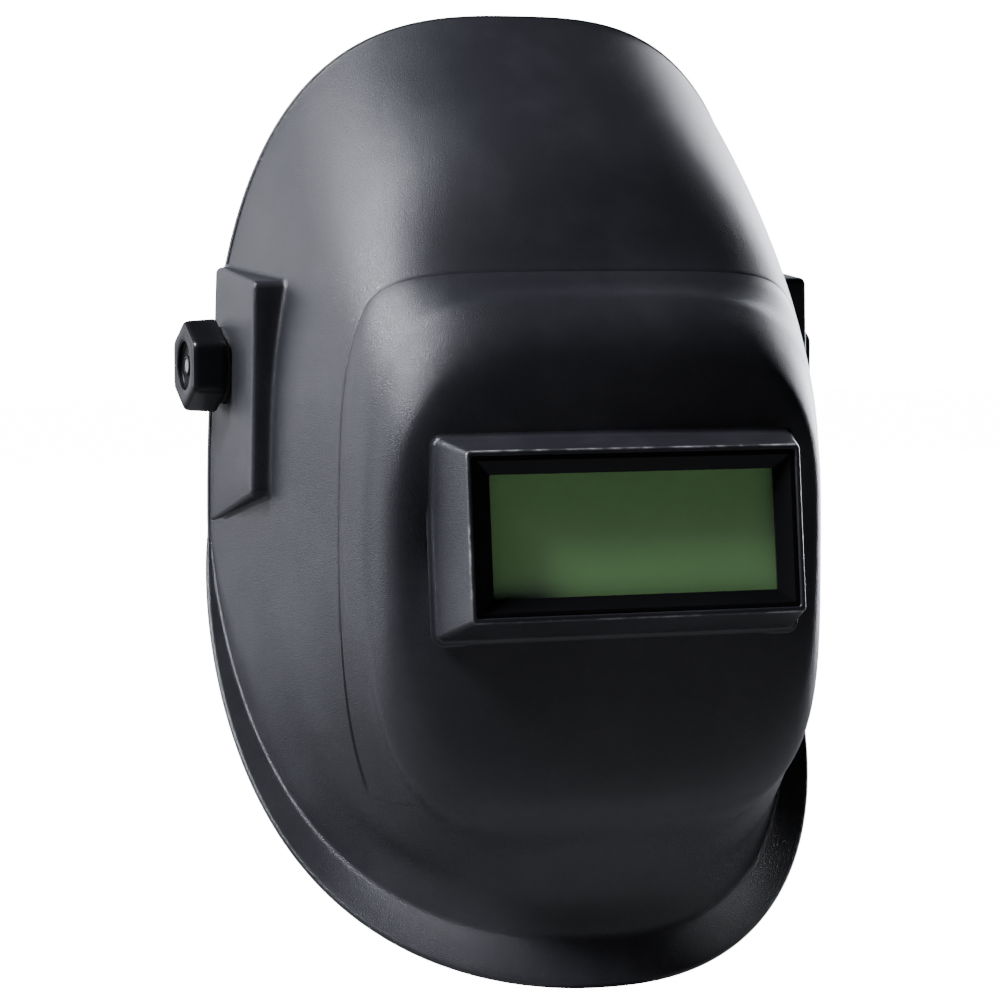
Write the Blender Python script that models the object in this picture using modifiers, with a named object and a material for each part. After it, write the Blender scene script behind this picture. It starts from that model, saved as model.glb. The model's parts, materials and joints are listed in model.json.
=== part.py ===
"""Welding helmet: a moulded shell with a fixed window, hung on adjustable headgear.

Lengths below are millimetres; MM turns them into Blender's metres. +Z is up and the front faces -Y.
The origin is the middle of the tilt axis, which runs along X between the two tension knobs.
Left and right are the wearer's, so the right side is at -X.
"""

import math

import bmesh
import bpy
from mathutils import Matrix, Vector

MM = 0.001
GAP = 0.3                       # clearance between pieces that rest on each other

# Shell
SHELL_WALL = 2.5
AROUND = 72                     # facets around the shell
STEPS = 3                       # facets between two outlines of the shell
OUTLINES = (
    # half-width, widest z, top z, bottom z, top and bottom power, y at side, top and bottom, tapers, power of y below
    (59.0, -52.0, -22.0, -82.0, 6.0, 6.0, -111.5, -118.0, -121.0, 0.0, 0.0, 2.0),      # inside the bezel
    (64.0, -52.0, -17.0, -87.5, 6.0, 6.0, -111.5, -118.0, -121.0, 0.0, 0.0, 2.0),      # foot of the bezel
    (76.0, -57.0, 10.0, -134.0, 3.6, 4.0, -109.5, -115.5, -118.5, 0.03, 0.06, 2.0),    # edge of the face
    (81.7, -60.0, 24.5, -149.0, 4.2, 4.4, -99.5, -107.0, -114.5, 0.07, 0.07, 2.0),     # shoulder
    (85.7, -61.0, 34.0, -161.0, 5.0, 4.6, -87.0, -94.5, -107.5, 0.06, 0.2, 2.0),       # seam of the insert
    (97.4, -55.5, 78.0, -176.5, 3.9, 2.9, -42.0, -71.0, -103.0, 0.11, 0.0, 1.9),       # middle of the dome
    (104.8, -55.5, 122.3, -190.8, 2.95, 2.76, 12.3, -20.0, -103.6, 0.0, -0.05, 1.53),   # rim and crease
)
FLANGE = (0.7, 15.8, -0.03, 0.47, 0.855)     # least and greatest width, start, forward lean, power

# Bezel and lens pocket, in the window's own frame: depth runs backwards from the front rim
WINDOW_CENTRE = (0.0, -134.7, -51.3)
WINDOW_TILT = math.radians(-6.57)
BEZEL_FRONT = (59.0, 28.0)      # half-width and half-height of the rim
BEZEL_FOOT = (64.5, 33.6)
BEZEL_DEPTH = 21.0
COLLAR = (61.0, 31.0)
COLLAR_DEPTH = 27.0
FRAME_POCKET = (57.2, 26.2)
FRAME_POCKET_DEPTH = 4.0
LENS = (54.0, 25.4)             # standard 108 x 50.8 plate
LENS_POCKET = (54.4, 25.8)
SIGHT = (50.3, 20.2)
CLIP_DEPTH = 18.6
CLIP_PIVOT_HEIGHT = 20.5
CLIP_WIRE = 0.9

# Side pads and the tension pivot, measured along X from the middle plane
PAD_FACE = 103.9
PAD_LEAN = 0.018
PAD_ROOT = 94.0
PAD_DRAFT = 0.97
SPOT_FACE = 103.1
PAD_OUTLINE = ((-40.0, 30.0), (-40.0, -43.0), (12.0, -56.0), (6.5, 34.5))
PIVOT_POCKET = 100.2
PIVOT_HOLE = 4.4
SHANK = 2.3
KNOB_BASE = 105.6
KNOB_FACE = 117.6
KNOB_CORNER = 16.8
KNOB_TAPER = 0.96

# Headgear ring, in the headgear's own frame
HEAD_TILT = math.radians(-6.0)
RING = (80.0, 98.0)
RING_CENTRE_Y = 30.0
RING_FLAT = 36.0                # half-length of the ring's straight back
BAND_THICK = 1.8
BAND_HEIGHT = 26.0
BAND_END = 24.0                 # half the gap between the band's two ends, inside the housing
TAIL_HEIGHT = 18.0
CROWN_FOOT_Y = 18.0
CROWN_TOP = 74.0
ARM_X = 93.75
ARM_THICK = 2.3

# Ratchet at the back
BACK_Y = RING_CENTRE_Y + RING[1]
TAIL_LAYERS = {"left": BACK_Y - 2.1, "right": BACK_Y - 4.2}
PINION_TEETH = 8
PINION_PITCH = 4.0
HOUSING = (34.0, 14.5)
CHANNEL_HALF = 10.0

PARTS = "welding_helmet"
CUTTERS = "cutters"

COLOURS = {
    "shell": ((0.022, 0.022, 0.025), 0.42, 0.0),
    "frame": ((0.008, 0.008, 0.009), 0.3, 0.0),
    "green": ((0.06, 0.11, 0.045), 0.12, 0.0),
    "clear": ((0.8, 0.85, 0.85), 0.05, 0.0),
    "rubber": ((0.02, 0.02, 0.02), 0.8, 0.0),
    "steel": ((0.6, 0.6, 0.62), 0.25, 1.0),
    "brass": ((0.7, 0.5, 0.2), 0.3, 1.0),
    "knob": ((0.01, 0.01, 0.011), 0.25, 0.0),
    "nylon": ((0.03, 0.03, 0.034), 0.45, 0.0),
    "foam": ((0.05, 0.05, 0.055), 0.9, 0.0),
}


def clear_scene():
    for old in list(bpy.data.objects):
        bpy.data.objects.remove(old)
    for name in (PARTS, CUTTERS):
        folder = bpy.data.collections.new(name)
        bpy.context.scene.collection.children.link(folder)


def material(kind):
    found = bpy.data.materials.get(kind)
    if found:
        return found
    colour, roughness, metallic = COLOURS[kind]
    made = bpy.data.materials.new(kind)
    made.use_nodes = True
    shader = made.node_tree.nodes["Principled BSDF"]
    shader.inputs["Base Color"].default_value = (*colour, 1.0)
    shader.inputs["Roughness"].default_value = roughness
    shader.inputs["Metallic"].default_value = metallic
    return made


def keep(mesh, name, kind=None, parent=None):
    """Puts a mesh whose vertices are in millimetres into the scene, as a part or, with no kind, a cutter."""
    mesh.transform(Matrix.Scale(MM, 4))
    obj = bpy.data.objects.new(name, mesh)
    bpy.data.collections[PARTS if kind else CUTTERS].objects.link(obj)
    if kind:
        obj.data.materials.append(material(kind))
    else:
        obj.hide_render = True
        obj.display_type = "WIRE"
    obj.parent = parent
    return obj


def from_bmesh(bm, name, kind=None, parent=None):
    bmesh.ops.recalc_face_normals(bm, faces=bm.faces)
    mesh = bpy.data.meshes.new(name)
    bm.to_mesh(mesh)
    bm.free()
    return keep(mesh, name, kind, parent)


def axis_turn(axis):
    return {
        "X": Matrix.Rotation(math.pi / 2, 4, "Y"),
        "Y": Matrix.Rotation(-math.pi / 2, 4, "X"),
        "Z": Matrix.Identity(4),
    }[axis]


def rod(name, radius, start, end, axis, kind=None, parent=None, centre=(0.0, 0.0), sides=24):
    """A cylinder from start to end along an axis, through centre on the other two axes."""
    bm = bmesh.new()
    middle = (start + end) / 2
    place = {
        "X": (middle, *centre),
        "Y": (centre[0], middle, centre[1]),
        "Z": (*centre, middle),
    }[axis]
    bmesh.ops.create_cone(
        bm,
        cap_ends=True,
        segments=sides,
        radius1=radius,
        radius2=radius,
        depth=abs(end - start),
        matrix=Matrix.Translation(place) @ axis_turn(axis),
    )
    return from_bmesh(bm, name, kind, parent)


def block(name, low, high, kind=None, parent=None):
    bm = bmesh.new()
    size = [b - a for a, b in zip(low, high)]
    centre = [(a + b) / 2 for a, b in zip(low, high)]
    bmesh.ops.create_cube(bm, size=1.0, matrix=Matrix.Translation(centre) @ Matrix.Diagonal((*size, 1.0)))
    return from_bmesh(bm, name, kind, parent)


def loft(name, rings, kind=None, parent=None, capped=True):
    """Skins a list of closed rings that have the same number of points."""
    bm = bmesh.new()
    rows = [[bm.verts.new(p) for p in ring] for ring in rings]
    count = len(rows[0])
    for lower, upper in zip(rows, rows[1:]):
        for i in range(count):
            j = (i + 1) % count
            bm.faces.new((lower[i], lower[j], upper[j], upper[i]))
    if capped:
        bm.faces.new(rows[0])
        bm.faces.new(rows[-1])
    return from_bmesh(bm, name, kind, parent)


def cut(obj, cutter, operation="DIFFERENCE"):
    boolean = obj.modifiers.new(cutter.name, "BOOLEAN")
    boolean.object = cutter
    boolean.operation = operation


def bevel(obj, width, segments=2, angle=30.0):
    rounded = obj.modifiers.new("round", "BEVEL")
    rounded.width = width * MM
    rounded.segments = segments
    rounded.limit_method = "ANGLE"
    rounded.angle_limit = math.radians(angle)


def smooth(obj, angle=35.0):
    obj.data.shade_smooth()
    obj.data.set_sharp_from_angle(angle=math.radians(angle))


def rounded_rectangle(half_width, half_height, radius, depth, corner_points=4):
    """Points of an upright rectangle with round corners, at one depth behind the window's rim."""
    points = []
    for quarter in range(4):
        sign_x = 1 if quarter in (0, 3) else -1
        sign_z = 1 if quarter < 2 else -1
        for step in range(corner_points):
            angle = math.pi / 2 * (quarter + step / (corner_points - 1))
            points.append((
                sign_x * (half_width - radius) + radius * math.cos(angle),
                depth,
                sign_z * (half_height - radius) + radius * math.sin(angle),
            ))
    return points


def plate(name, size, radius, front, back, kind=None, parent=None):
    """A flat rectangular piece between two depths."""
    rings = [rounded_rectangle(*size, radius, depth) for depth in (front, back)]
    return loft(name, rings, kind, parent)


# ---------------------------------------------------------------- shell


def outline_point(ring, angle):
    """A point of one of the shell's outlines. Zero degrees is the side, ninety the top."""
    half, wide_z, top, bottom, power_up, power_down, y_side, y_top, y_bottom, taper_up, taper_down, y_power = ring
    c, s = math.cos(angle), math.sin(angle)
    up = s >= 0
    power = power_up if up else power_down
    reach = (abs(c) ** power + abs(s) ** power) ** (-1 / power)
    height = s * reach
    taper = taper_up if up else taper_down
    x = half * c * reach * (1 - taper * height * height)
    z = wide_z + ((top - wide_z) if up else (wide_z - bottom)) * height
    y = y_side + ((y_top if up else y_bottom) - y_side) * abs(s) ** (2.0 if up else y_power)
    return (x, y, z)


def lip_point(angle):
    """The edge of the flange that stands out from the crease and dies away towards the ears."""
    x, y, z = outline_point(OUTLINES[-1], angle)
    x_next, _, z_next = outline_point(OUTLINES[-1], angle + 0.01)
    length = math.hypot(x_next - x, z_next - z)
    least, most, start, lean, power = FLANGE
    down = max(0.0, (start - math.sin(angle)) / (1 + start))
    wide = least + (most - least) * down ** power
    lean *= min(1.0, 2 * down)
    return (x + wide * (z_next - z) / length, y - lean * wide, z - wide * (x_next - x) / length)


def between(rings, at):
    """The outline at a fractional place along the list, on a curve through all of them."""
    i = min(int(at), len(rings) - 2)
    t = at - i
    one, two = rings[i], rings[i + 1]
    before = rings[i - 1] if i else tuple(2 * a - b for a, b in zip(one, two))
    after = rings[i + 2] if i + 2 < len(rings) else tuple(2 * b - a for a, b in zip(one, two))
    return tuple(
        0.5 * (2 * b + (c - a) * t + (2 * a - 5 * b + 4 * c - d) * t * t + (3 * b - a - 3 * c + d) * t ** 3)
        for a, b, c, d in zip(before, one, two, after)
    )


def shell_skin():
    """The open moulded skin, from inside the bezel out to the rim and the lip."""
    angles = [2 * math.pi * i / AROUND for i in range(AROUND)]
    last = len(OUTLINES) - 1
    places = [0.0] + [1 + k / STEPS for k in range((last - 1) * STEPS + 1)]
    rings = [[outline_point(between(OUTLINES, at), a) for a in angles] for at in places]
    rings.append([lip_point(a) for a in angles])
    shell = loft("helmet_shell", rings, "shell", capped=False)
    shell.data.flip_normals()
    wall = shell.modifiers.new("wall", "SOLIDIFY")
    wall.thickness = SHELL_WALL * MM
    wall.offset = -1.0
    return shell


def bezel(window):
    rings = [
        rounded_rectangle(*BEZEL_FRONT, 1.2, 0.0),
        rounded_rectangle(*BEZEL_FOOT, 4.0, BEZEL_DEPTH),
        rounded_rectangle(*COLLAR, 3.0, BEZEL_DEPTH + 0.6),
        rounded_rectangle(*COLLAR, 3.0, COLLAR_DEPTH),
    ]
    return loft("bezel_block", rings, parent=window)


def side_pad(side, word):
    """A flat-faced platform on the side of the shell, drafted towards its face."""
    middle = [sum(p[i] for p in PAD_OUTLINE) / len(PAD_OUTLINE) for i in (0, 1)]
    rings = [
        [(side * (x - lean * point[1]), *(m + (v - m) * scale for m, v in zip(middle, point))) for point in PAD_OUTLINE]
        for x, lean, scale in ((PAD_ROOT, 0.0, 1.0), (PAD_FACE, PAD_LEAN, PAD_DRAFT))
    ]
    pad = loft("pad_" + word, rings)
    bevel(pad, 2.0, 2)
    return pad


def helmet_shell(window):
    shell = shell_skin()
    sides = ((1, "left"), (-1, "right"))
    for side, word in sides:
        cut(shell, side_pad(side, word), "UNION")
    cut(shell, bezel(window), "UNION")
    for side, word in sides:
        cut(shell, rod("spot_face_" + word, 18.0, side * SPOT_FACE, side * 112.0, "X", sides=32))
        cut(shell, rod("pivot_pocket_" + word, 22.0, side * 88.0, side * PIVOT_POCKET, "X", sides=32))
        cut(shell, rod("pivot_hole_" + word, PIVOT_HOLE, side * 98.0, side * 106.0, "X"))
    cut(shell, plate("frame_pocket", FRAME_POCKET, 1.0, -2.0, FRAME_POCKET_DEPTH, parent=window))
    cut(shell, plate("lens_pocket", LENS_POCKET, 1.0, FRAME_POCKET_DEPTH - 1.0, COLLAR_DEPTH + 12, parent=window))
    cut(shell, rod("clip_hole", CLIP_WIRE + GAP, -57.5, 57.5, "X", parent=window,
                   centre=(CLIP_DEPTH, CLIP_PIVOT_HEIGHT), sides=12))
    smooth(shell, 30)


# ---------------------------------------------------------------- lenses


def ring_plate(name, outer, inner, front, back, kind, parent):
    made = plate(name, outer, 1.0, front, back, kind, parent)
    opening = plate(name + "_opening", inner, 1.0, front - 1, back + 1, parent=parent)
    cut(made, opening)
    return made


def window_stack(window):
    """The bevelled window frame, then the lenses from the outside in, and the frame that holds them."""
    outer = (FRAME_POCKET[0] - GAP, FRAME_POCKET[1] - GAP)
    frame = plate("window_frame", outer, 1.0, 0.8, FRAME_POCKET_DEPTH - GAP, "frame", window)
    slope = loft("window_frame_slope", [
        rounded_rectangle(SIGHT[0], SIGHT[1], 0.6, FRAME_POCKET_DEPTH + 1),
        rounded_rectangle(SIGHT[0], SIGHT[1], 0.6, 3.3),
        rounded_rectangle(SIGHT[0] + 5.6, SIGHT[1] + 4.8, 0.6, 0.6),
    ], parent=window)
    cut(frame, slope)
    plate("outer_cover_lens", LENS, 1.0, 4.1, 5.6, "clear", window)
    ring_plate("lens_gasket", LENS, (51.5, 21.5), 5.9, 6.9, "rubber", window)
    plate("filter_lens", LENS, 1.0, 7.2, 10.2, "green", window)
    plate("inner_cover_lens", LENS, 1.0, 10.5, 12.0, "clear", window)
    ring_plate("lens_retaining_frame", LENS, (50.3, 21.0), 12.3, 16.2, "nylon", window)


def poly_tube(name, points, radius, kind, parent):
    """A bent wire through the points, with closed ends."""
    curve = bpy.data.curves.new(name, "CURVE")
    curve.dimensions = "3D"
    curve.bevel_depth = radius * MM
    curve.bevel_resolution = 2
    curve.use_fill_caps = True
    line = curve.splines.new("POLY")
    line.points.add(len(points) - 1)
    for point, place in zip(line.points, points):
        point.co = (*(MM * v for v in place), 1.0)
    wire = bpy.data.objects.new(name, curve)
    bpy.data.collections[PARTS].objects.link(wire)
    wire.data.materials.append(material(kind))
    wire.parent = parent
    return wire


def bend(corner, start, end, radius, steps=5):
    """Points of a round bend at a corner between two straight runs."""
    corner, start, end = Vector(corner), Vector(start), Vector(end)
    one = corner + (start - corner).normalized() * radius
    two = corner + (end - corner).normalized() * radius
    return [tuple(one.lerp(corner, t).lerp(corner.lerp(two, t), t)) for t in (k / (steps - 1) for k in range(steps))]


def lens_clip(window):
    """A sprung wire on two end pins: its arms run down behind the retaining frame to a cross bar."""
    hinge = bpy.data.objects.new("lens_clip_axis", None)
    bpy.data.collections[PARTS].objects.link(hinge)
    hinge.parent = window
    hinge.location = (0.0, CLIP_DEPTH * MM, CLIP_PIVOT_HEIGHT * MM)
    arm_x, low = 52.4, -2 * CLIP_PIVOT_HEIGHT
    corners = [(57.0, 0, 0), (arm_x, 0, 0), (arm_x, 0, low), (-arm_x, 0, low), (-arm_x, 0, 0), (-57.0, 0, 0)]
    points = [corners[0]]
    for before, corner, after in zip(corners, corners[1:], corners[2:]):
        points += bend(corner, before, after, 2.5)
    points.append(corners[-1])
    poly_tube("lens_clip_wire", points, CLIP_WIRE, "steel", hinge)


# ---------------------------------------------------------------- tension pivots


def knob_outline(x, corner, side):
    """A six-sided knob with round corners, one corner up."""
    points = []
    for i in range(6):
        middle = math.pi / 2 + i * math.pi / 3
        for offset in (-7.0, 0.0, 7.0):
            angle = middle + math.radians(offset)
            radius = corner * (1.0 if offset == 0.0 else 0.972)
            points.append((side * x, radius * math.cos(angle), radius * math.sin(angle)))
    return points


def ring_part(name, outer, inner, start, end, side, kind):
    made = rod(name, outer, side * start, side * end, "X", kind, sides=32)
    hole = rod(name + "_bore", inner, side * (start - 2), side * (end + 2), "X")
    cut(made, hole)
    smooth(made)
    return made


def tension_pivot(side, word):
    """One side's screw, stop, washers, insert and knob, from the inside out."""
    head = rod("pivot_screw_" + word, 7.0, side * 89.6, side * 92.3, "X", "steel", sides=32)
    shank = rod("pivot_shank_" + word, SHANK, side * 91.0, side * 116.4, "X", sides=20)
    cut(head, shank, "UNION")
    smooth(head)

    stop = rod("tilt_stop_" + word, 15.0, side * 95.2, side * 97.7, "X", "nylon", sides=32)
    lug = block("stop_lug_" + word, (min(side * 95.2, side * 97.7), 12.0, -4.0),
                (max(side * 95.2, side * 97.7), 18.5, 4.0))
    cut(stop, lug, "UNION")
    bore = rod("stop_bore_" + word, SHANK + GAP, side * 93.0, side * 99.0, "X")
    cut(stop, bore)
    smooth(stop)

    ring_part("friction_washer_" + word, 15.0, SHANK + GAP, 98.0, 99.9, side, "rubber")
    ring_part("pressure_washer_" + word, 13.5, SHANK + GAP, SPOT_FACE + GAP, KNOB_BASE - GAP, side, "steel")

    insert = rod("knob_insert_" + word, 4.5, side * 106.6, side * 113.4, "X", "brass", sides=8)
    bore = rod("insert_bore_" + word, SHANK + 0.05, side * 104.0, side * 116.0, "X", sides=20)
    cut(insert, bore)

    rings = [
        knob_outline(KNOB_BASE, KNOB_CORNER, side),
        knob_outline(KNOB_FACE - 0.8, KNOB_CORNER * KNOB_TAPER, side),
        knob_outline(KNOB_FACE, KNOB_CORNER * KNOB_TAPER - 0.8, side),
    ]
    knob = loft("tension_knob_" + word, rings, "knob")
    dish = rod("knob_dish_" + word, 8.5, side * (KNOB_FACE - 2.0), side * (KNOB_FACE + 2), "X", sides=32)
    cut(knob, dish)
    boss = rod("knob_boss_" + word, 3.4, side * (KNOB_FACE - 3.0), side * (KNOB_FACE - 1.0), "X", sides=20)
    cut(knob, boss, "UNION")
    bore = rod("knob_bore_" + word, SHANK + GAP, side * 104.0, side * 120.0, "X", sides=20)
    cut(knob, bore)
    seat = rod("insert_seat_" + word, 4.5 + GAP, side * 104.0, side * 113.7, "X", sides=20)
    cut(knob, seat)
    smooth(knob)


# ---------------------------------------------------------------- headgear


def ring_path(turn, offset=0.0):
    """A point of the head ring in plan. turn is 0 at the brow and 180 degrees at the back, positive to the left."""
    side = 1 if turn >= 0 else -1
    angle = abs(turn)
    flat = RING_FLAT if angle > 90 else 0.0
    reach = RING[0] - flat
    c, s = math.cos(math.radians(angle)), math.sin(math.radians(angle))
    x, y = flat + reach * s, RING_CENTRE_Y - RING[1] * c
    normal = Vector((s / reach, -c / RING[1])).normalized()
    return Vector((side * (x + offset * normal.x), y + offset * normal.y))


def band_ring(turn, thick, height, offset=0.0, middle=0.0):
    """The band's upright section at one place round the head."""
    inner = ring_path(turn, offset - thick / 2)
    outer = ring_path(turn, offset + thick / 2)
    low, high = middle - height / 2, middle + height / 2
    return [(inner.x, inner.y, low), (outer.x, outer.y, low), (outer.x, outer.y, high), (inner.x, inner.y, high)]


def headband(gear):
    """The band round the brow and sides. Its narrow ends run straight into the ratchet housing."""
    turns = [-180 + 360 * i / 60 for i in range(61)]
    rings = []
    for turn in turns:
        taper = min(1.0, max(0.0, (abs(turn) - 90) / 60))
        rings.append(band_ring(turn, BAND_THICK, BAND_HEIGHT + (TAIL_HEIGHT - BAND_HEIGHT) * taper))
    left_end = [(BAND_END, y, z) for _, y, z in rings[-1]]
    right_end = [(-BAND_END, y, z) for _, y, z in rings[0]]
    band = loft("front_headband", [right_end, *rings, left_end], "nylon", gear)
    for side, word in ((1, "left"), (-1, "right")):
        for place, y, z in (("crown", CROWN_FOOT_Y, 5.0), ("arm", 46.0, 0.0)):
            hole = rod(f"{place}_hole_{word}", 2.0 + GAP, side * 70.0, side * 90.0, "X", parent=gear,
                       centre=(y, z), sides=16)
            cut(band, hole)
    smooth(band)


def soft_strip(name, reach, thick, height, offset, kind, gear, count=24):
    """A padded strip inside the band, rounded off at its long edges."""
    rings = []
    for i in range(count + 1):
        turn = -reach + 2 * reach * i / count
        end = 1 - (abs(turn) / reach) ** 8 * 0.35
        ring = []
        for across, up in ((-0.5, -0.36), (0.5, -0.5), (0.5, 0.5), (-0.5, 0.36)):
            place = ring_path(turn, offset + across * thick)
            ring.append((place.x, place.y, up * height * end))
        rings.append(ring)
    strip = loft(name, rings, kind, gear)
    smooth(strip)


def band_tail(side, word, gear):
    """A straight toothed strip: its slot's teeth mesh with the pinion, above on the left and below on the right."""
    y = TAIL_LAYERS[word]
    half = BAND_THICK / 2
    ends = sorted((side * 30.0, -side * 22.0))
    tail = block("band_tail_" + word, (ends[0], y - half, -TAIL_HEIGHT / 2), (ends[1], y + half, TAIL_HEIGHT / 2),
                 "nylon", gear)
    slot_z = sorted((side * 5.2, -side * 5.3))
    slot = block("tail_slot_" + word, (-17.5, y - 3, slot_z[0]), (17.5, y + 3, slot_z[1]), parent=gear)
    cut(tail, slot)
    pitch = 2 * math.pi * PINION_PITCH / PINION_TEETH
    rack = []
    for k in range(-5, 5):
        x = (k + 0.5) * pitch
        rack += [(x - 0.75, 5.3), (x - 0.35, 3.4), (x + 0.35, 3.4), (x + 0.75, 5.3)]
    outline = [(rack[0][0], 6.6)] + rack + [(rack[-1][0], 6.6)]
    rings = [[(x, depth, side * z) for x, z in outline] for depth in (y - half + 0.1, y + half - 0.1)]
    teeth = loft("tail_teeth_" + word, rings, parent=gear)
    cut(tail, teeth, "UNION")


def side_arm(side, word, gear):
    """A cranked arm from the pivot back to the band, with its rivet."""
    route = [(ARM_X, -13.0), (ARM_X, 16.0), (90.5, 24.0), (85.6, 34.0), (82.9, 41.0), (81.6, 60.0)]
    half = ARM_THICK / 2
    sections = []
    for i, point in enumerate(route):
        before, after = route[max(i - 1, 0)], route[min(i + 1, len(route) - 1)]
        along = (Vector(after) - Vector(before)).normalized()
        normal = Vector((along.y, -along.x)) * half
        low, high = Vector(point) - normal, Vector(point) + normal
        tall = 10.0 if 0 < i < len(route) - 1 else 7.0
        sections.append([(side * p.x, p.y, z) for p, z in ((low, -tall), (high, -tall), (high, tall), (low, tall))])
    arm = loft("side_arm_" + word, sections, "nylon", gear)
    bevel(arm, 0.5, 1)
    bore = rod("arm_bore_" + word, SHANK + GAP, side * 88.0, side * 98.0, "X", parent=gear)
    cut(arm, bore)
    hole = rod("arm_rivet_hole_" + word, 2.0 + GAP, side * 76.0, side * 90.0, "X", parent=gear, centre=(46.0, 0.0),
               sides=16)
    cut(arm, hole)
    rivet("arm_rivet_" + word, side, 76.4, 84.8, 46.0, 0.0, gear)


def rivet(name, side, inner, outer, y, z, gear):
    """A rivet along X, with a head on each end of its shank."""
    shank = rod(name, 2.0, side * (inner - 0.5), side * (outer + 0.5), "X", "steel", gear, (y, z), sides=16)
    for place, start, end in (("inner", inner - 1.4, inner), ("outer", outer, outer + 1.4)):
        head = rod(f"{name}_{place}_head", 3.6, side * start, side * end, "X", parent=gear, centre=(y, z), sides=16)
        cut(shank, head, "UNION")
    smooth(shank)


def crown_strap(side, word, gear):
    """Half of the strap over the head, from its rivet at the band to past the middle, one half on the other."""
    lift = {"left": 0.0, "right": 1.7}[word]
    thick, width = 1.4, 18.0
    reach = 83.0
    rings = []
    for i in range(19):
        angle = math.radians(-4 + 108 * i / 18)
        c, s = math.cos(angle), math.sin(angle)
        over = lift * min(1.0, max(0.0, (math.degrees(angle) - 50) / 20))
        centre = Vector((reach * c, CROWN_FOOT_Y + 7 * s, 2 + (CROWN_TOP - 2) * s))
        out = Vector((c * CROWN_TOP, 0.0, s * reach)).normalized()
        ring = []
        for depth, across in ((-thick / 2, -1), (thick / 2, -1), (thick / 2, 1), (-thick / 2, 1)):
            point = centre + out * (depth + over) + Vector((0.0, across * width / 2, 0.0))
            ring.append((side * point.x, point.y, point.z))
        rings.append(ring)
    strap = loft("crown_strap_" + word, rings, "nylon", gear)
    foot = rod("crown_foot_hole_" + word, 2.0 + GAP, side * 74.0, side * 90.0, "X", parent=gear,
               centre=(CROWN_FOOT_Y, 5.0), sides=16)
    cut(strap, foot)
    for x in (-8.0, 0.0, 8.0):
        hole = rod(f"crown_peg_hole_{word}_{x:.0f}", 2.5, CROWN_TOP - 8, CROWN_TOP + 8, "Z", parent=gear,
                   centre=(x, CROWN_FOOT_Y + 7), sides=12)
        cut(strap, hole)
    smooth(strap)
    rivet("crown_rivet_" + word, side, 77.9, 84.2, CROWN_FOOT_Y, 5.0, gear)


def crown_peg(gear):
    """The button that joins the two halves of the crown strap."""
    peg = rod("crown_strap_peg", 2.2, CROWN_TOP - 2.4, CROWN_TOP + 4.0, "Z", "nylon", gear,
              (0.0, CROWN_FOOT_Y + 7), sides=16)
    for place, start, end in (("under", CROWN_TOP - 2.6, CROWN_TOP - 1.1), ("top", CROWN_TOP + 3.2, CROWN_TOP + 4.6)):
        head = rod(f"peg_{place}", 4.2, start, end, "Z", parent=gear, centre=(0.0, CROWN_FOOT_Y + 7), sides=20)
        cut(peg, head, "UNION")
    smooth(peg)


# ---------------------------------------------------------------- ratchet


def gear_outline(y):
    points = []
    for k in range(PINION_TEETH):
        for radius, half in ((3.0, 0.85), (4.75, 0.35), (4.75, -0.35), (3.0, -0.85)):
            angle = math.pi / 2 + 2 * math.pi * k / PINION_TEETH
            across = Vector((math.cos(angle + math.pi / 2), math.sin(angle + math.pi / 2))) * -half
            point = Vector((math.cos(angle), math.sin(angle))) * radius + across
            points.append((point.x, y, point.y))
    return points


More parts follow.
